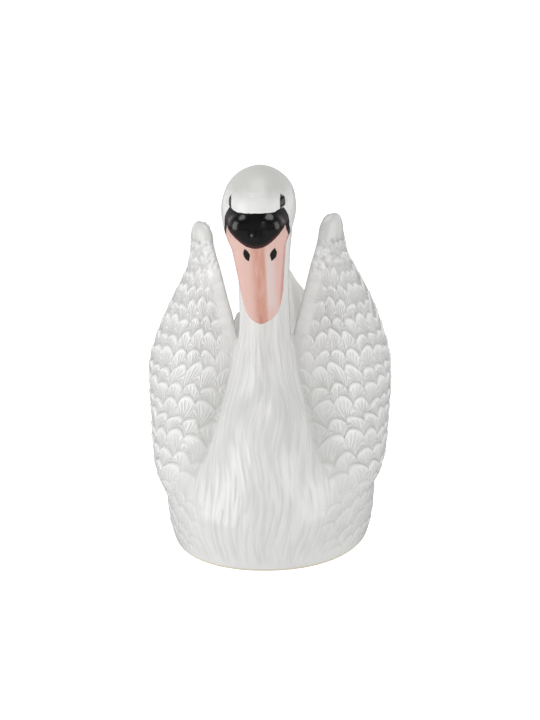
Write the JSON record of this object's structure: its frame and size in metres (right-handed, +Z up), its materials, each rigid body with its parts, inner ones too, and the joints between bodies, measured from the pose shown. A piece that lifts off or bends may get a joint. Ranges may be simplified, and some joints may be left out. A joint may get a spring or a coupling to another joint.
{
  "type": "swan figurine",
  "caption": "Swan figurine in white glazed ceramic, wings raised and covered with scalloped feathers, salmon bill held down and black face; stands on a flat foot ring.",
  "frame": {"origin": "on the floor plane under the middle of the bounding box", "axes": "+Z up, the swan faces -Y, +X to the right as seen from the front"},
  "size_m": [0.1977, 0.2642, 0.2973],
  "materials": {
    "white_glaze": "gloss"
  },
  "bodies": {
    "root": {"swan_figurine": "white_glaze"}
  },
  "joints": []
}
